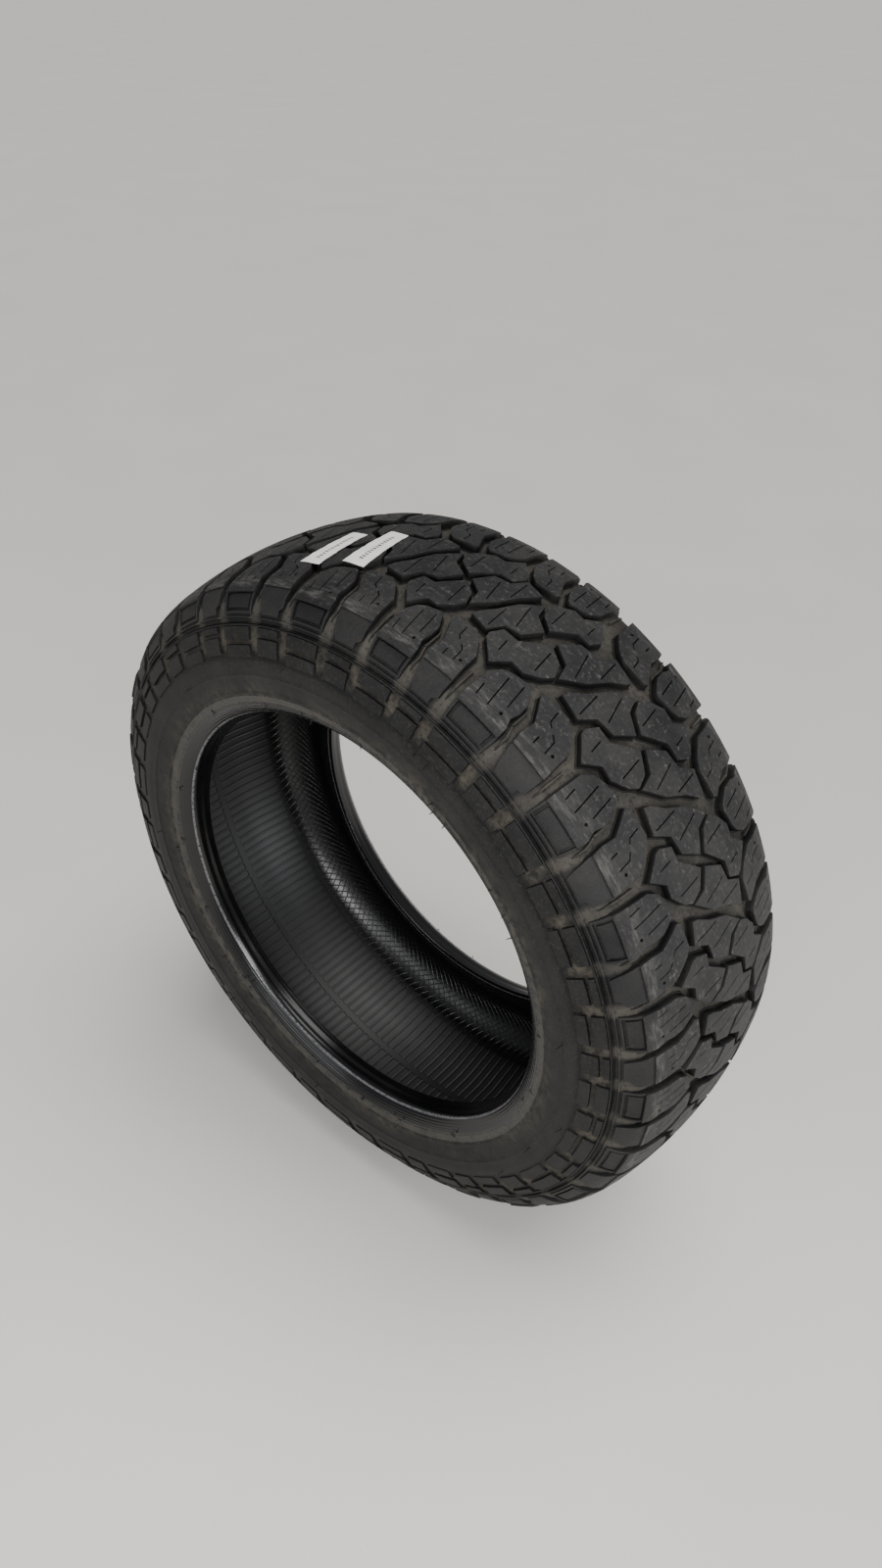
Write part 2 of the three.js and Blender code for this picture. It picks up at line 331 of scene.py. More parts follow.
def wrapPattern(name, parts, sides):
    # copies flat parts round the tyre, once for each pitch and side, into one new mesh
    places, depths, acrosses, sizes, corners = [], [], [], [], []
    total = 0
    for part in parts:
        flat = vertexArray(part.data)
        partSizes, partCorners = facesOf(part.data)
        for side in sides:
            u = flat[:, 0] / tyreShape["pitchLength"]
            away = -flat[:, 1]
            fade = 1 - smoothStep(away, *patternShift["fade"])
            if side == "near":
                s = away - patternShift["near"] * fade
            else:
                s = -(away - patternShift["far"] * fade)
                u = 2 * tyreShape["turnedAbout"] - u
            y, r = placeAt(s, flat[:, 2])
            for start, degrees in pitchStarts():
                angle = np.radians(start + u * degrees)
                places.append(np.stack([r * np.sin(angle), y, r * np.cos(angle)], 1))
                # the ejectors take the dust of the groove floor all over
                dusty = part.name in ejectors
                depths.append(np.full(len(flat), treadShape["dustDepth"]) if dusty else -flat[:, 2])
                acrosses.append(np.abs(s))
                sizes.append(partSizes)
                corners.append(partCorners + total)
                total += len(flat)
    place = np.concatenate(places)
    place[:, 2] = np.maximum(place[:, 2], tyreShape["groundZ"])
    sizes, corners = np.concatenate(sizes), np.concatenate(corners)
    mesh = bpy.data.meshes.new(name)
    mesh.vertices.add(len(place))
    mesh.vertices.foreach_set("co", (place * mm).astype(np.float32).ravel())
    mesh.loops.add(len(corners))
    mesh.loops.foreach_set("vertex_index", corners)
    mesh.polygons.add(len(sizes))
    starts = np.concatenate([[0], np.cumsum(sizes)[:-1]])
    mesh.polygons.foreach_set("loop_start", starts.astype(np.int32))
    mesh.update(calc_edges=True)
    setFloats(mesh, "below", np.concatenate(depths))
    setFloats(mesh, "across", np.concatenate(acrosses))
    setFloats(mesh, "slot", np.zeros(len(place)))
    piece = bpy.data.objects.new(name, mesh)
    bpy.context.scene.collection.objects.link(piece)
    for part in parts:
        bpy.data.objects.remove(part)
    return piece


def shadeBlocks(piece, others=()):
    # joins the others into a piece and smooths all but its edges
    selectOnly(piece)
    if others:
        for other in others:
            other.select_set(True)
        bpy.ops.object.join()
    bpy.ops.object.shade_smooth_by_angle(angle=math.radians(32))
    return piece


# materials


def linear(code):
    # an sRGB hex colour as linear RGBA
    values = [int(code[i:i + 2], 16) / 255 for i in (1, 3, 5)]
    return [v / 12.92 if v <= 0.04045 else ((v + 0.055) / 1.055) ** 2.4 for v in values] + [1]


def addNode(tree, kind, settings=None, links=None):
    # settings are input values, by name or number, or properties; links are sockets, or nodes that
    # give their first live output
    node = tree.nodes.new("ShaderNode" + kind)
    for key, value in (settings or {}).items():
        if isinstance(key, int) or key in node.inputs:
            node.inputs[key].default_value = value
        else:
            setattr(node, key, value)
    for key, source in (links or {}).items():
        if isinstance(source, bpy.types.Node):
            source = next(output for output in source.outputs if output.enabled)
        tree.links.new(source, node.inputs[key])
    return node


def newMaterial(name, settings):
    material = bpy.data.materials.new(name)
    material.use_nodes = True
    tree = material.node_tree
    tree.nodes.clear()
    shader = addNode(tree, "BsdfPrincipled", settings)
    addNode(tree, "OutputMaterial", links={"Surface": shader})
    return material, tree, shader


def finishMaterial(tree, shader, colour, bumps, rough=None):
    # bumps are (height, strength, distance in metres), each on top of the one before
    tree.links.new(colour.outputs[2], shader.inputs["Base Color"])
    if rough:
        tree.links.new(rough.outputs[0], shader.inputs["Roughness"])
    under = {}
    for height, strength, distance in bumps:
        normal = addNode(tree, "Bump", {"Strength": strength, "Distance": distance},
                         {"Height": height, **under})
        under = {"Normal": normal}
    tree.links.new(normal.outputs[0], shader.inputs["Normal"])


def ringCoordinates(tree):
    # object coordinates, and from them the angle round the axis in radians and the radius in metres
    place = addNode(tree, "TexCoord").outputs["Object"]
    split = addNode(tree, "SeparateXYZ", links={0: place})
    x, y, z = split.outputs
    angle = addNode(tree, "Math", {"operation": "ARCTAN2"}, {0: x, 1: z})
    flat = addNode(tree, "CombineXYZ", links={0: x, 1: z})
    radius = addNode(tree, "VectorMath", {"operation": "LENGTH"}, {0: flat}).outputs["Value"]
    return place, angle, y, radius


def makeTreadRubber():
    # worn carbon-black tread: scuffed grey tops, black moulded walls that painted shade darkens further down,
    # dust on the groove floors
    material, tree, shader = newMaterial("wornTreadRubber", {"IOR": 1.5, "Specular IOR Level": 0.25})
    place, angle, y, radius = ringCoordinates(tree)
    below, across, slot = [addNode(tree, "Attribute", {"attribute_name": name}).outputs["Fac"]
                           for name in ("below", "across", "slot")]
    # patches of 55 mm, specks of 4 mm, and a 1 mm grain, which is coarser than real so that it shows
    blotch = addNode(tree, "TexNoise", {"Scale": 18, "Detail": 5, "Roughness": 0.65},
                     {"Vector": place})
    speck = addNode(tree, "TexNoise", {"Scale": 240, "Detail": 4, "Roughness": 0.7},
                    {"Vector": place})
    grain = addNode(tree, "TexNoise", {"Scale": 1100, "Detail": 2}, {"Vector": place})
    # road scuffs run round the tyre, so their pattern is drawn out that way
    turned = addNode(tree, "Math", {"operation": "MULTIPLY", 1: 16}, {0: angle})
    sideways = addNode(tree, "Math", {"operation": "MULTIPLY", 1: 190}, {0: y})
    drawn = addNode(tree, "CombineXYZ", links={0: turned, 1: sideways})
    streak = addNode(tree, "TexNoise", {"Scale": 1, "Detail": 5, "Roughness": 0.75},
                     {"Vector": drawn})
    # a mask in another's "To Max" multiplies the two
    uneven = addNode(tree, "MapRange", {"From Min": 0.35, "From Max": 0.68}, {"Value": blotch})
    tops = addNode(tree, "Mix", {"data_type": "RGBA", 6: linear("#171718"), 7: linear("#252526")},
                   {0: uneven})
    pitted = addNode(tree, "MapRange", {"From Min": 0.52, "From Max": 0.66, "To Max": 0.8},
                     {"Value": speck})
    chafed = addNode(tree, "MapRange", {"From Min": 0.42, "From Max": 0.66},
                     {"Value": streak, "To Max": pitted})
    shoulder = addNode(tree, "MapRange", {"From Min": 92, "From Max": 104, "To Max": 0.75},
                       {"Value": across})
    shoulder = addNode(tree, "MapRange", {"From Min": 114, "From Max": 110},
                       {"Value": across, "To Max": shoulder})
    shoulder = addNode(tree, "MapRange", {"From Min": 0.47, "From Max": 0.66},
                       {"Value": streak, "To Max": shoulder})
    chafed = addNode(tree, "Math", {"operation": "MAXIMUM"}, {0: chafed, 1: shoulder})
    tops = addNode(tree, "Mix", {"data_type": "RGBA", 7: linear("#5c5b58")}, {0: chafed, 6: tops})
    onTop = addNode(tree, "MapRange", {"From Min": 0.9, "From Max": 0.25}, {"Value": below})
    onTop = addNode(tree, "MapRange", {"From Min": 120, "From Max": 113},
                    {"Value": across, "To Max": onTop})
    # the walls are clean moulded rubber, darker than the scuffed tops, and from 2.2 to 3.2 mm down they go
    # near black: painted shade in the grooves and in the sunk shoulder windows
    shallow = addNode(tree, "MapRange", {"From Min": 3.2, "From Max": 2.2}, {"Value": below})
    mouldedAndShaded = addNode(tree, "Mix",
                      {"data_type": "RGBA", 6: linear("#0b0b0c"), 7: linear("#1a1a1b")},
                      {0: shallow})
    colour = addNode(tree, "Mix", {"data_type": "RGBA"}, {0: onTop, 6: mouldedAndShaded, 7: tops})
    patchy = addNode(tree, "MapRange", {"From Min": 0.3, "From Max": 0.6, "To Min": 0.4},
                     {"Value": blotch})
    floorDust = addNode(tree, "MapRange", {"From Min": 7.4, "From Max": 9.2},
                        {"Value": below, "To Max": patchy})
    floorDust = addNode(tree, "MapRange", {"From Min": 127, "From Max": 112},
                        {"Value": across, "To Max": floorDust})
    slotDust = addNode(tree, "MapRange", links={"Value": slot, "To Max": patchy})
    slotDust = addNode(tree, "MapRange", {"From Min": 104, "From Max": 118},
                       {"Value": across, "To Max": slotDust})
    dust = addNode(tree, "Math", {"operation": "MAXIMUM"}, {0: floorDust, 1: slotDust})
    film = addNode(tree, "MapRange", {"From Min": 0.42, "From Max": 0.7, "To Max": 0.22},
                   {"Value": blotch})
    dust = addNode(tree, "Math", {"operation": "MAXIMUM"}, {0: dust, 1: film})
    dust = addNode(tree, "MapRange", {"From Min": 0.25, "From Max": 0.5},
                   {"Value": speck, "To Max": dust})
    colour = addNode(tree, "Mix", {"data_type": "RGBA", 7: linear("#47443f")}, {0: dust, 6: colour})
    rough = addNode(tree, "MapRange", {"To Min": 0.55, "To Max": 0.95}, {"Value": dust})
    finishMaterial(tree, shader, colour,
                   [(grain, 0.3, 0.0005), (speck, 0.55, 0.0014), (streak, 0.45, 0.001)], rough)
    return material


def makeSidewallRubber():
    # moulded sidewall rubber: satin black with painted shade on the lug walls and in the lug recesses, grey
    # dust between the lugs and low down by the rim
    material, tree, shader = newMaterial("dustySidewallRubber", {"IOR": 1.5, "Specular IOR Level": 0.18})
    place, angle, y, radius = ringCoordinates(tree)
    below, across, slot = [addNode(tree, "Attribute", {"attribute_name": name}).outputs["Fac"]
                           for name in ("below", "across", "slot")]
    blotch = addNode(tree, "TexNoise", {"Scale": 26, "Detail": 6, "Roughness": 0.7},
                     {"Vector": place})
    speck = addNode(tree, "TexNoise", {"Scale": 320, "Detail": 4, "Roughness": 0.65},
                    {"Vector": place})
    uneven = addNode(tree, "MapRange", {"From Min": 0.35, "From Max": 0.7}, {"Value": blotch})
    cleanAndLugShade = addNode(tree, "Mix", {"data_type": "RGBA", 6: linear("#121213"), 7: linear("#1f1f1f")},
                    {0: uneven})
    # painted shade: the lug walls and the recess floors round the lugs are painted near black
    lugWall = addNode(tree, "MapRange", {"From Min": 0.0, "From Max": 0.5}, {"Value": below})
    lugWall = addNode(tree, "MapRange", {"From Min": 190, "From Max": 184},
                      {"Value": across, "To Max": lugWall})
    cleanAndLugShade = addNode(tree, "Mix", {"data_type": "RGBA", 7: linear("#0c0c0d")},
                    {0: lugWall, 6: cleanAndLugShade})
    fleck = addNode(tree, "TexNoise", {"Scale": 110, "Detail": 5, "Roughness": 0.7},
                    {"Vector": place})
    patchy = addNode(tree, "MapRange",
                     {"From Min": 0.38, "From Max": 0.62, "To Min": 0.12, "To Max": 0.95},
                     {"Value": fleck})
    recess = addNode(tree, "MapRange", {"From Min": 0.8, "From Max": 2.3},
                     {"Value": below, "To Max": patchy})
    recess = addNode(tree, "MapRange", {"From Min": 186, "From Max": 176},
                     {"Value": across, "To Max": recess})
    inSlot = addNode(tree, "MapRange", {"To Min": 0.35, "To Max": 1.0}, {"Value": slot})
    recess = addNode(tree, "Math", {"operation": "MULTIPLY"}, {0: recess, 1: inSlot})
    worn = addNode(tree, "MapRange", {"From Min": 0.40, "From Max": 0.60, "To Max": 1.0},
                   {"Value": fleck})
    worn = addNode(tree, "MapRange", {"From Min": 0.36, "From Max": 0.62},
                   {"Value": blotch, "To Max": worn})
    low = addNode(tree, "MapRange", {"From Min": 206, "From Max": 228},
                  {"Value": across, "To Max": worn})
    film = addNode(tree, "MapRange", {"From Min": 0.54, "From Max": 0.68, "To Max": 0.3},
                   {"Value": speck})
    dust = addNode(tree, "Math", {"operation": "MAXIMUM"}, {0: recess, 1: low})
    dust = addNode(tree, "Math", {"operation": "MAXIMUM"}, {0: dust, 1: film})
    colour = addNode(tree, "Mix", {"data_type": "RGBA", 7: linear("#48443d")}, {0: dust, 6: cleanAndLugShade})
    rough = addNode(tree, "MapRange", {"To Min": 0.52, "To Max": 0.9}, {"Value": dust})
    ringSpacing = 0.0016       # tool marks of the mould, coarser than real so that they show
    rings = addNode(tree, "Math", {"operation": "MULTIPLY", 1: 2 * math.pi / ringSpacing},
                    {0: radius})
    rings = addNode(tree, "Math", {"operation": "SINE"}, {0: rings})
    finishMaterial(tree, shader, colour, [(rings, 0.08, 0.0002), (speck, 0.5, 0.0008)], rough)
    return material


def makeBeadRubber():
    # hard bead rubber polished by the rim: near-black and glossy, with a pale line at the heel that is worn
    # rubber and painted highlight
    material, tree, shader = newMaterial("polishedBeadRubber", {"IOR": 1.52, "Specular IOR Level": 0.4})
    place, angle, y, radius = ringCoordinates(tree)
    blotch = addNode(tree, "TexNoise", {"Scale": 30, "Detail": 5, "Roughness": 0.65},
                     {"Vector": place})
    speck = addNode(tree, "TexNoise", {"Scale": 420, "Detail": 3, "Roughness": 0.6},
                    {"Vector": place})
    uneven = addNode(tree, "MapRange", {"From Min": 0.4, "From Max": 0.7}, {"Value": blotch})
    colour = addNode(tree, "Mix", {"data_type": "RGBA", 6: linear("#070708"), 7: linear("#0d0d0e")},
                     {0: uneven})
    # a pale line round the heel: worn rubber with a painted highlight along it
    heelWearAndHighlight = addNode(tree, "MapRange", {"From Min": 0.2536, "From Max": 0.2542, "To Max": 0.8},
                   {"Value": radius})
    heelWearAndHighlight = addNode(tree, "MapRange", {"From Min": 0.2556, "From Max": 0.2550},
                   {"Value": radius, "To Max": heelWearAndHighlight})
    heelWearAndHighlight = addNode(tree, "MapRange", {"From Min": 0.36, "From Max": 0.5},
                   {"Value": speck, "To Max": heelWearAndHighlight})
    colour = addNode(tree, "Mix", {"data_type": "RGBA", 7: linear("#77777a")}, {0: heelWearAndHighlight, 6: colour})
    fleck = addNode(tree, "TexNoise", {"Scale": 110, "Detail": 5, "Roughness": 0.7},
                    {"Vector": place})
    worn = addNode(tree, "MapRange", {"From Min": 0.42, "From Max": 0.62, "To Max": 0.8},
                   {"Value": fleck})
    dust = addNode(tree, "MapRange", {"From Min": 0.2672, "From Max": 0.2705},
                   {"Value": radius, "To Max": worn})
    colour = addNode(tree, "Mix", {"data_type": "RGBA", 7: linear("#48443d")}, {0: dust, 6: colour})
    rough = addNode(tree, "MapRange", {"To Min": 0.2, "To Max": 0.9}, {"Value": dust})
    ringSpacing = 0.0024       # the rim strip's grooves
    rings = addNode(tree, "Math", {"operation": "MULTIPLY", 1: 2 * math.pi / ringSpacing},
                    {0: radius})
    rings = addNode(tree, "Math", {"operation": "SINE"}, {0: rings})
    finishMaterial(tree, shader, colour, [(rings, 0.35, 0.0003), (speck, 0.12, 0.0003)], rough)
    return material


def makeLinerRubber():
    # butyl liner moulded by the curing bladder: cross ribs 11 mm apart with a plain line round the
    # middle, and a glossier diamond mesh at the shoulders that takes a long highlight
    material, tree, shader = newMaterial("butylLinerRubber", {"IOR": 1.52, "Specular IOR Level": 0.55})
    place, angle, y, radius = ringCoordinates(tree)
    away = addNode(tree, "Math", {"operation": "ABSOLUTE"}, {0: y})
    blotch = addNode(tree, "TexNoise", {"Scale": 14, "Detail": 4, "Roughness": 0.6},
                     {"Vector": place})
    speck = addNode(tree, "TexNoise", {"Scale": 600, "Detail": 2}, {"Vector": place})
    ribs = addNode(tree, "Math", {"operation": "MULTIPLY", 1: linerShape["ribs"]}, {0: angle})
    ribs = addNode(tree, "Math", {"operation": "SINE"}, {0: ribs})
    ribs = addNode(tree, "MapRange", {"From Min": -0.85, "From Max": -0.5}, {"Value": ribs})
    ribs = addNode(tree, "MapRange", {"From Min": 0.004, "From Max": 0.0055},
                   {"Value": away, "To Max": ribs})
    ribs = addNode(tree, "MapRange", {"From Min": 0.088, "From Max": 0.084},
                   {"Value": away, "To Max": ribs})
    # two sets of slanting lines, which cross as diamonds
    turned = addNode(tree, "Math", {"operation": "MULTIPLY", 1: linerShape["meshLines"]},
                     {0: angle})
    lean = addNode(tree, "Math", {"operation": "MULTIPLY", 1: linerShape["meshSlant"]}, {0: radius})
    meshOne = addNode(tree, "Math", {"operation": "ADD"}, {0: turned, 1: lean})
    meshOne = addNode(tree, "Math", {"operation": "SINE"}, {0: meshOne})
    meshTwo = addNode(tree, "Math", {"operation": "SUBTRACT"}, {0: turned, 1: lean})
    meshTwo = addNode(tree, "Math", {"operation": "SINE"}, {0: meshTwo})
    mesh = addNode(tree, "Math", {"operation": "MAXIMUM"}, {0: meshOne, 1: meshTwo})
    mesh = addNode(tree, "MapRange", {"From Min": 0.84, "From Max": 1.0, "To Max": 0.9},
                   {"Value": mesh})
    mesh = addNode(tree, "MapRange", {"From Min": 0.088, "From Max": 0.094},
                   {"Value": away, "To Max": mesh})
    mesh = addNode(tree, "MapRange", {"From Min": 0.298, "From Max": 0.306},
                   {"Value": radius, "To Max": mesh})
    height = addNode(tree, "Math", {"operation": "ADD"}, {0: ribs, 1: mesh})
    inMesh = addNode(tree, "MapRange", {"From Min": 0.086, "From Max": 0.094}, {"Value": away})
    uneven = addNode(tree, "MapRange", {"From Min": 0.35, "From Max": 0.7}, {"Value": blotch})
    colour = addNode(tree, "Mix", {"data_type": "RGBA", 6: linear("#050506"), 7: linear("#09090a")},
                     {0: uneven})
    # the colour follows the relief: raised ribs and mesh lines lighter, grooves and plain bands near black,
    # which is painted light and shade
    colour = addNode(tree, "Mix", {"data_type": "RGBA", 7: linear("#171718")},
                     {0: height, 6: colour})
    rough = addNode(tree, "MapRange", {"To Min": 0.46, "To Max": 0.3}, {"Value": inMesh})
    finishMaterial(tree, shader, colour, [(speck, 0.15, 0.0003), (height, 0.6, 0.0007)], rough)
    return material


def makeLabelPaper():
    # coated label paper, white and slightly creased, with plain printed bars
    material, tree, shader = newMaterial("coatedLabelPaper", {"Roughness": 0.55, "IOR": 1.45})
    place = addNode(tree, "TexCoord").outputs["Object"]
    uv = addNode(tree, "UVMap", {"uv_map": "print"})
    split = addNode(tree, "SeparateXYZ", links={0: uv})
    bars = addNode(tree, "TexBrick",
                   {"Scale": 1, "Mortar Size": 0.012, "Brick Width": 0.055, "Row Height": 0.21,
                    "offset": 0.37, "Color1": linear("#3a3a3c"), "Color2": linear("#8f8f8d"),
                    "Mortar": linear("#ecebe6")}, {"Vector": uv})
    printed = None
    for axis, edge, inside in (("Y", 0.40, 0.42), ("Y", 0.64, 0.62), ("X", 0.12, 0.14),
                               ("X", 0.88, 0.86)):
        links = {"Value": split.outputs[axis]}
        if printed:
            links["To Max"] = printed
        printed = addNode(tree, "MapRange", {"From Min": edge, "From Max": inside}, links)
    colour = addNode(tree, "Mix", {"data_type": "RGBA", 6: linear("#ecebe6")},
                     {0: printed, 7: bars})
    creases = addNode(tree, "TexNoise", {"Scale": 60, "Detail": 3}, {"Vector": place})
    finishMaterial(tree, shader, colour, [(creases, 0.15, 0.0008)])
    return material


def makeCord(name, light, dark, spacing, metal):
    # cords laid side by side in rubber: pale twisted lines, spacing metres apart, with dark gaps
    rough = 0.45 if metal else 0.8
    material, tree, shader = newMaterial(name, {"Metallic": metal, "Roughness": rough})
    place, angle, y, radius = ringCoordinates(tree)
    windings = 180 if metal else 40      # how far the cords slant
    over = addNode(tree, "Math", {"operation": "MULTIPLY", 1: 2 * math.pi / spacing}, {0: y})
    lean = addNode(tree, "Math", {"operation": "MULTIPLY_ADD", 1: windings}, {0: angle, 2: over})
    cord = addNode(tree, "Math", {"operation": "SINE"}, {0: lean})
    cord = addNode(tree, "MapRange", {"From Min": -0.6, "From Max": 0.8}, {"Value": cord})
    colour = addNode(tree, "Mix", {"data_type": "RGBA", 6: linear(dark), 7: linear(light)},
                     {0: cord})
    finishMaterial(tree, shader, colour, [(cord, 0.6, 0.0004)])
    return material


def makeStiffRubber():
    # dense filler compound: matt black with a fine mixed grain
    material, tree, shader = newMaterial("fillerCompound", {"Roughness": 0.8})
    place = addNode(tree, "TexCoord").outputs["Object"]
    grain = addNode(tree, "TexNoise", {"Scale": 300, "Detail": 3}, {"Vector": place})
    colour = addNode(tree, "Mix", {"data_type": "RGBA", 6: linear("#1c1c1c"), 7: linear("#2b2b2a")},
                     {0: grain})
    finishMaterial(tree, shader, colour, [(grain, 0.3, 0.0003)])
    return material


linerShape = {
    "gauge": 1.3,
    "ribs": 212,           # round the tyre, as are the mesh lines
    "meshLines": 220,
    "meshSlant": 820,
    # y and r of the air chamber, from its middle to the bead
    "cavity": [(0, 371.8), (38, 371.8), (103, 358.5), (126, 332), (128.5, 308), (109.5, 276),
               (103.5, 261)],
    "samples": 300,        # along the section, for rounding its corners
    "rounding": 13,
    "keepEvery": 4,        # samples from one spun point to the next
}

print("materials")
materials = {
    "tread_rubber": makeTreadRubber(),
    "sidewall_rubber": makeSidewallRubber(),
    "bead_rubber": makeBeadRubber(),
    "liner_rubber": makeLinerRubber(),
    "label_paper": makeLabelPaper(),
    "stiff_rubber": makeStiffRubber(),
    "belt_steel": makeCord("brassCoatedSteelCord", "#b08d57", "#3a2f20", 0.0018, 1.0),
    "bead_steel": makeCord("bronzeBeadWire", "#b5905c", "#40331f", 0.0012, 1.0),
    "nylon_cord": makeCord("nylonOverlayCord", "#bdb6a4", "#4a463c", 0.0010, 0.0),
    "polyester_cord": makeCord("polyesterBodyCord", "#7c6a50", "#2b251c", 0.0012, 0.0),
}


def finishPiece(piece, slotName, *nodes):
    piece.data.materials.clear()
    piece.data.materials.append(materials[slotName])
    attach(piece, "root")
    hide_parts(*nodes)
    print(piece.name, sum(polygon.loop_total - 2 for polygon in piece.data.polygons), "triangles")


# tread
treadShape = {
    "grooveDepth": 9.5,
    "sipeWidth": 1.3,
    "sipeDepth": 5.0,
    "root": -10.5,
    # (inset, rise) from the groove floor: root ledge, drafted wall, worn edge
    "wall": [(0.5, 0.5), (0.2, 1.3), (1.0, 0.2), (0.6, 7.2), (0.3, 0.3)],
    "panelWall": [(0.5, 0.5), (0.2, 1.3), (1.0, 0.2), (0.5, 5.3), (0.4, 0.4)],
    # frame, drop, ledge and raised middle of a shoulder window
    "window": [(2.2, 0.0), (0.4, -2.6), (2.7, 0.0), (0.3, 1.7)],
    "ejectorWall": [(0.3, 3.6), (0.3, 0.3)],
    "dustDepth": 9.0,
    # the longest stretch left uncut, along and across
    "blockSlice": (11, 10),
    "panelSlice": (11, 5),
    "ejectorSlice": (20, 7),
    # the ring's outside past the grooves, and its underside, as (s, h)
    "floorEdge": [(108, -9.0), (116, -7.9), (124, -6.4), (132, -4.9), (140, -3.6), (143.6, -3.4),
                  (144.1, -1.1), (145.2, -1.1), (145.8, -4.2), (149.4, -4.2), (150.2, -0.6)],
    "underEdge": [(150.2, -6.5), (141, -10), (118, -13.5)],
    "underDepth": 14.5,
}
# outlines of one pitch: fraction of the pitch, and s
shoulderNarrow = {
    "outline": [(0.077, 118), (0.077, 80), (0.133, 70), (0.199, 66), (0.343, 62), (0.376, 64),
                (0.464, 78), (0.475, 89), (0.459, 98), (0.497, 107), (0.505, 118)],
    "sipes": [[(0.215, 72), (0.271, 104)], [(0.337, 68), (0.381, 93)], [(0.133, 92), (0.155, 104)]],
    "pins": [(0.387, 101)],
}
shoulderWide = {
    "outline": [(0.459, 61.6), (0.481, 57), (0.713, 55), (0.796, 61.6), (0.917, 78), (0.928, 92.5),
                (0.952, 109.5), (0.60, 109.5), (0.58, 98), (0.586, 83.5)],
    "sipes": [[(0.63, 60), (0.652, 72), (0.691, 75)], [(0.735, 78), (0.785, 82), (0.807, 95)],
              [(0.685, 89), (0.696, 97)]],
    "pins": [(0.856, 91)],
}
inner = {
    "outline": [(-0.149, 55), (0.017, 73.5), (0.127, 57), (0.243, 58), (0.365, 46), (0.409, 36),
                (0.354, 22), (0.199, 11), (0.022, 35), (-0.116, 35), (-0.166, 49)],
    "sipes": [[(0.243, 19), (0.282, 47)], [(-0.028, 43), (-0.006, 58)]],
    "pins": [],
}
centre = {
    "outline": [(0.215, 5), (0.315, -16.5), (0.475, -20), (0.558, -38), (0.768, -33), (0.751, -25.6),
                (0.668, -11), (0.586, 12.5), (0.431, 34), (0.381, 16)],
    "sipes": [[(0.409, -13), (0.497, 19)], [(0.58, -33), (0.613, -3)]],
    "pins": [],
}
narrowPanel = [(0.077, 114), (0.504, 114), (0.508, 122), (0.497, 141), (0.077, 141)]
widePanel = [(0.60, 106), (0.948, 106), (0.956, 131), (0.90, 135), (0.895, 141), (0.672, 141),
             (0.641, 132.5), (0.603, 114)]
ejectors = {
    "straight": [(-0.014, 88), (0.0, 88), (0.014, 130), (0.0, 130)],
    "zigzagUpper": [(0.474, 76), (0.50, 80), (0.51, 97), (0.49, 98), (0.484, 82)],
    "zigzagLower": [(0.497, 99), (0.512, 98), (0.55, 109), (0.56, 130), (0.544, 130), (0.534, 110)],
}


def makeTreadBlocks():
    parts = []
    root, panelSteps = treadShape["root"], treadShape["panelWall"]
    sipeWidth, sipeDepth = treadShape["sipeWidth"], treadShape["sipeDepth"]
    for name, shape in (("shoulderNarrow", shoulderNarrow), ("shoulderWide", shoulderWide),
                        ("inner", inner), ("centre", centre)):
        part = flatBlock(name, shape["outline"], root, treadShape["wall"])
        cutSlots(part, shape["sipes"], shape["pins"], sipeWidth, sipeDepth)
        sliceFlat(part, treadShape["blockSlice"])
        parts.append(part)
    narrow = flatBlock("narrowPanel", narrowPanel, root, panelSteps, treadShape["window"])
    wide = flatBlock("widePanel", widePanel, root, panelSteps)
    for part in (narrow, wide):
        sliceFlat(part, treadShape["panelSlice"])
        parts.append(part)
    for name, outline in ejectors.items():
        part = flatBlock(name, outline, root, treadShape["ejectorWall"])
        sliceFlat(part, treadShape["ejectorSlice"])
        parts.append(part)
    return shadeBlocks(wrapPattern("treadBlocks", parts, ("near", "far")))


def makeTreadRing():
    floor = [(s, -treadShape["grooveDepth"]) for s in range(0, 101, 10)] + treadShape["floorEdge"]
    under = treadShape["underEdge"] + [(s, -treadShape["underDepth"]) for s in range(100, -1, -20)]
    rows = floor[::-1] + [(-s, h) for s, h in floor[1:]]
    rows += [(-s, h) for s, h in under[:-1]] + under[::-1]
    ring = spinRing("treadRing", outsidePoints(rows))
    place = vertexArray(ring.data)
    place[:, 2] = np.maximum(place[:, 2], tyreShape["groundZ"] * mm)
    ring.data.vertices.foreach_set("co", place.astype(np.float32).ravel())
    ring.data.update()
    return ring


print("tread")
for make in (makeTreadBlocks, makeTreadRing):
    finishPiece(make(), "tread_rubber", "tread")

# sidewalls
sidewallShape = {
    "lugRoot": -4.0,
    "lugWall": [(0.5, 2.6), (0.2, 0.6), (0.3, 0.2)],
    "skirtWall": [(0.5, 1.9), (0.4, 0.5), (0.5, 0.1)],
    "lugSlice": (7, 20),
    # the ring's inside and outside, as (s, h)
    "innerLine": [(228.3, -5.5), (215, -6.5), (190, -7.5), (170, -7), (150.6, -6.5)],
    "profile": [(150.6, -4.0), (150.7, -0.9), (151.1, -0.1), (151.7, 0.3), (152.4, 0.3),
                (152.9, -0.2), (153.4, -2.5), (157, -2.6), (163, -2.6), (168, -2.5), (173, -2.2), (178, -1.6),
                (183, -0.8), (187, -0.2), (191, 0), (196, 0), (202, 0), (202.8, 0.35),
                (203.8, 0.35), (204.6, 0), (209, 0), (214, 0), (219, 0), (223.5, 0), (224.2, 0.4),
                (225.2, 0.4), (226, 0), (228.3, 0)],
}
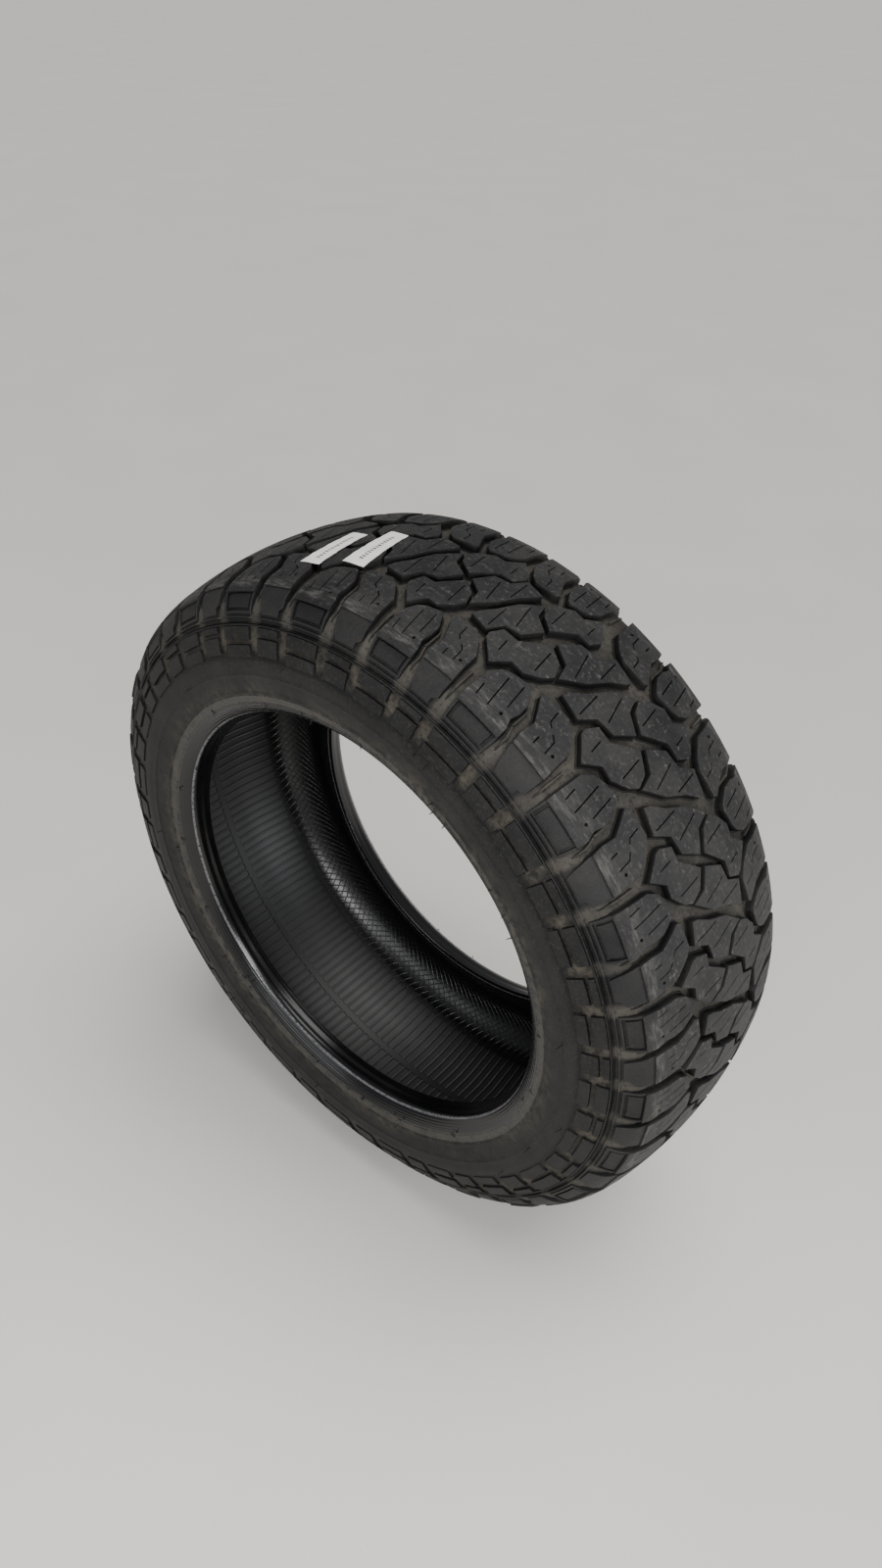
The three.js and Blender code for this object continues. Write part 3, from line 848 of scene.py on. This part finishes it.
lugs = {
    "upperNarrow": [(0.077, 153.6), (0.49, 153.6), (0.49, 166), (0.077, 166)],
    "lowerNarrow": [(0.077, 172), (0.49, 172), (0.49, 183), (0.077, 183)],
    "upperWide": [(0.635, 153.6), (0.93, 153.6), (0.93, 159.5), (0.635, 159.5)],
    "lowerWide": [(0.635, 164.5), (0.93, 164.5), (0.93, 181), (0.635, 181)],
}
lugSkirt = [(0.06, 176), (0.50, 176), (0.50, 182), (0.46, 186.5), (0.11, 186.5), (0.06, 182)]
hairShape = {
    "count": 44,
    "radius": 0.6,
    "corners": 5,
    "length": (4.0, 8.0),
    "rows": [189, 202, 228, 234, 237, 239, 240],     # the s they stand at
    "rimFrom": 230,        # past this s they lean in over the rim
    "rimLean": (0.8, 2.4),
    "spread": 0.5,
    "lowest": -380,        # none so near the floor
}


def makeHairs(side):
    # vent spews: short soft hairs left by the mould
    vertices, faces = [], []
    corners, spread = hairShape["corners"], hairShape["spread"]
    for i in range(hairShape["count"]):
        angle = random.uniform(0, 2 * math.pi)
        s = random.choice(hairShape["rows"])
        y, r = placeAt(np.array([s * side]), np.array([0.0]))
        foot = Vector((r[0] * math.sin(angle), y[0], r[0] * math.cos(angle)))
        if foot.z < hairShape["lowest"]:
            continue
        inward = Vector()
        if s > hairShape["rimFrom"]:
            inward = -foot.normalized() * random.uniform(*hairShape["rimLean"])
        out = Vector((random.uniform(-spread, spread), -side, random.uniform(-spread, spread)))
        out = (out + inward).normalized()
        across = out.orthogonal().normalized() * hairShape["radius"]
        other = out.cross(across)
        length = random.uniform(*hairShape["length"])
        base = len(vertices)
        # the root is sunk a little, and the tip is drawn to a point
        for along, scale in ((-1.0, 1.0), (length * 0.6, 0.9), (length, 0.4)):
            for k in range(corners):
                turn = 2 * math.pi * k / corners
                p = foot + out * along + (across * math.cos(turn) + other * math.sin(turn)) * scale
                vertices.append(tuple(p * mm))
        for row in (base, base + corners):
            for k in range(corners):
                a, b = row + k, row + (k + 1) % corners
                faces.append([a, b, b + corners, a + corners])
        faces.append([base + 2 * corners + k for k in range(corners)])
        faces.append([base + k for k in reversed(range(corners))])
    return newObject("hairs", vertices, [], faces)


def makeSidewall(side):
    sign = 1 if side == "near" else -1
    rows = sidewallShape["profile"] + sidewallShape["innerLine"]
    ring = spinRing("sidewallRing", outsidePoints([(s * sign, h) for s, h in rows]))
    parts = []
    for name, outline in [*lugs.items(), ("lugSkirt", lugSkirt)]:
        wall = sidewallShape["skirtWall" if name == "lugSkirt" else "lugWall"]
        part = flatBlock(name, outline, sidewallShape["lugRoot"], wall)
        sliceFlat(part, sidewallShape["lugSlice"])
        parts.append(part)
    row = wrapPattern("lugRow", parts, (side,))
    wall = shadeBlocks(row, [ring, makeHairs(sign)])
    wall.name = "sidewallWithLugs" + side.capitalize()
    return wall


print("sidewalls")
for side in ("near", "far"):
    finishPiece(makeSidewall(side), "sidewall_rubber", "sidewall_" + side)

# beads
beadShape = {
    # y and r round the section, from the sidewall over the toe and up the inside
    "outline": [(135.45, 277.6), (134.9, 275), (134.2, 271.6), (133.9, 270.3), (133.2, 269.7),
                (133.1, 269.0), (133.5, 268.4), (133.4, 267.4), (132.7, 266.2), (131.6, 264),
                (129.7, 261.2), (127.5, 258.6), (125.4, 256.4), (123.8, 254.9), (122.2, 253.9),
                (120, 253.1), (116, 252), (110, 250.5), (105, 249.1), (103.2, 248.6), (102.4, 248.7),
                (102, 249.5), (102.1, 252), (102.6, 256), (103.2, 259.5), (103.8, 261.3),
                (105.4, 260.9), (112, 257.2), (121, 258.5), (126, 270), (129.5, 279)],
}


def makeBead(side):
    sign = -1 if side == "near" else 1
    outline = [(y * sign, r) for y, r in beadShape["outline"]]
    return spinRing("beadRing" + side.capitalize(), outline)


print("beads")
for side in ("near", "far"):
    finishPiece(makeBead(side), "bead_rubber", "chafer_" + side)


# the inner liner follows the air chamber, from one bead to the other
def makeLiner():
    points = np.array(linerShape["cavity"])
    points[:, 1] *= tyreShape["facetShrink"]
    points = np.concatenate([points[:0:-1] * [-1, 1], points])
    run = np.concatenate([[0], np.cumsum(np.hypot(*np.diff(points, axis=0).T))])
    samples, rounding = linerShape["samples"], linerShape["rounding"]
    fine = np.linspace(0, run[-1], samples)
    y = smoothed(np.interp(fine, run, points[:, 0]), rounding)
    r = smoothed(np.interp(fine, run, points[:, 1]), rounding)
    dy, dr = np.gradient(y), np.gradient(r)
    thick = linerShape["gauge"] / np.hypot(dy, dr)
    keep = list(range(0, samples, linerShape["keepEvery"])) + [samples - 1]
    insideLine = [(y[i], r[i]) for i in keep]
    outsideLine = [(y[i] - dr[i] * thick[i], r[i] + dy[i] * thick[i]) for i in keep]
    return spinRing("innerLinerRing", insideLine + outsideLine[::-1])


print("liner")
finishPiece(makeLiner(), "liner_rubber", "inner_liner")

# labels
labelShape = {
    "gauge": 0.25,
    "lift": 0.75,
    "faces": (40, 8),      # along and across
    # height, waves along and waves across of the paper's creases
    "creases": [(0.15, 19, 0.5), (0.09, 43, 1)],
    # where a label lies: rows of s and its two edges, in degrees round the tyre
    "rows": {
        "size_label_left": [(0, -12.3, -9.4), (35, -12.6, -9.3), (70, -13, -9.2)],
        "size_label_right": [(-18, -7.1, -3.9), (19, -6.8, -3.2), (56, -6.5, -2.5)],
    },
}


def makeLabel(name, rows):
    rows = np.array(rows, float)
    long, wide = labelShape["faces"]
    vertices, faces, uvs = [], [], []
    for i in range(long + 1):
        t = i / long
        s = rows[0, 0] + (rows[-1, 0] - rows[0, 0]) * t
        low, high = np.interp(s, rows[:, 0], rows[:, 1]), np.interp(s, rows[:, 0], rows[:, 2])
        for k in range(wide + 1):
            u = k / wide
            crease = sum(height * math.sin(t * along + k * across)
                         for height, along, across in labelShape["creases"])
            y, r = placeAt(np.array([s]), np.array([labelShape["lift"] + crease]))
            angle = math.radians(low + (high - low) * u)
            vertices.append((r[0] * math.sin(angle) * mm, y[0] * mm, r[0] * math.cos(angle) * mm))
            uvs.append((t, u))
    for i in range(long):
        for k in range(wide):
            a = i * (wide + 1) + k
            faces.append([a, a + wide + 1, a + wide + 2, a + 1])
    label = newObject(name + "_sheet", vertices, [], faces)
    layer = label.data.uv_layers.new(name="print")
    for loop in label.data.loops:
        layer.data[loop.index].uv = uvs[loop.vertex_index]
    paper = label.modifiers.new("paper", "SOLIDIFY")
    paper.thickness, paper.offset = labelShape["gauge"] * mm, 0
    bpy.ops.object.modifier_apply(modifier=paper.name)
    bpy.ops.object.shade_smooth_by_angle(angle=math.radians(40))
    return label


print("labels")
for name, rows in labelShape["rows"].items():
    finishPiece(makeLabel(name, rows), "label_paper", name)

# the sealed components keep their shapes and get their own finishes
print("sealed components")
replaced = {"tread", "sidewall_near", "sidewall_far", "chafer_near", "chafer_far", "inner_liner",
            "size_label_left", "size_label_right"}
for part in frame["record"]["subparts"]:
    if part["node"] not in replaced:
        node = frame["nodes"][part["node"]]
        node.data.materials.clear()
        node.data.materials.append(materials[part["material_slot"]])

# floor, light and camera
stageShape = {
    "floorHalf": 40.0,
    # kind, name, place, width and height (or the sun's spread), power, colour
    "lights": [
        ("SUN", "softCeiling", (0.5, 0.35, 2.4), math.radians(45), 2.5, (1, 0.985, 0.96)),
        ("AREA", "frontLight", (0.95, -1.05, 0.75), (1.1, 0.4), 17, (1, 1, 1)),
        ("AREA", "doorLight", (2.7, 0.8, 0.45), (0.9, 0.9), 26, (0.97, 0.985, 1)),
        ("AREA", "lowLight", (-0.2, -2.0, 0.8), (1.5, 0.6), 13, (0.97, 0.985, 1)),
    ],
    "roomColour": (0.9, 0.91, 0.93, 1),
    "roomStrength": 0.34,
    "cameraPlace": (0.697, -0.771, 0.895),
    "cameraAim": (-0.5247, 0.6066, -0.5973),
    "lens": 27.2,
}


def makeFloor():
    ground = tyreShape["groundZ"] * mm
    bpy.ops.object.select_all(action="DESELECT")
    bpy.ops.mesh.primitive_plane_add(size=2 * stageShape["floorHalf"], location=(0, 0, ground))
    floor = bpy.context.object
    floor.name = "studioFloor"
    bpy.ops.object.transform_apply(location=True)
    # painted floor, pale and matt, so that only the tyre's soft shadow shows on it
    material, tree, shader = newMaterial("paleStudioFloor", {"Roughness": 0.85})
    place = addNode(tree, "TexCoord").outputs["Object"]
    cloudy = addNode(tree, "TexNoise", {"Scale": 3, "Detail": 4}, {"Vector": place})
    colour = addNode(tree, "Mix", {"data_type": "RGBA", 6: linear("#cdcac5"), 7: linear("#d6d3ce")},
                     {0: cloudy})
    tree.links.new(colour.outputs[2], shader.inputs["Base Color"])
    floor.data.materials.append(material)


def addLight(kind, name, place, size, energy, colour):
    # a soft light aimed at the wheel's centre
    light = bpy.data.lights.new(name, kind)
    light.energy, light.color = energy, colour
    if kind == "SUN":
        light.angle = size
    else:
        light.shape, light.size, light.size_y = "RECTANGLE", size[0], size[1]
    lamp = bpy.data.objects.new(name, light)
    lamp.location = place
    lamp.rotation_mode = "QUATERNION"
    lamp.rotation_quaternion = (-Vector(place)).to_track_quat("-Z", "Y")
    bpy.context.scene.collection.objects.link(lamp)


def addCamera():
    data = bpy.data.cameras.new("camera")
    data.lens = stageShape["lens"]
    camera = bpy.data.objects.new("camera", data)
    camera.location = stageShape["cameraPlace"]
    camera.rotation_mode = "QUATERNION"
    camera.rotation_quaternion = Vector(stageShape["cameraAim"]).to_track_quat("-Z", "Y")
    bpy.context.scene.collection.objects.link(camera)
    bpy.context.scene.camera = camera


print("stage")
makeFloor()
for light in stageShape["lights"]:
    addLight(*light)
world = bpy.data.worlds.new("softRoom")
world.use_nodes = True
background = world.node_tree.nodes["Background"]
background.inputs["Color"].default_value = stageShape["roomColour"]
background.inputs["Strength"].default_value = stageShape["roomStrength"]
bpy.context.scene.world = world
addCamera()

print("finish")
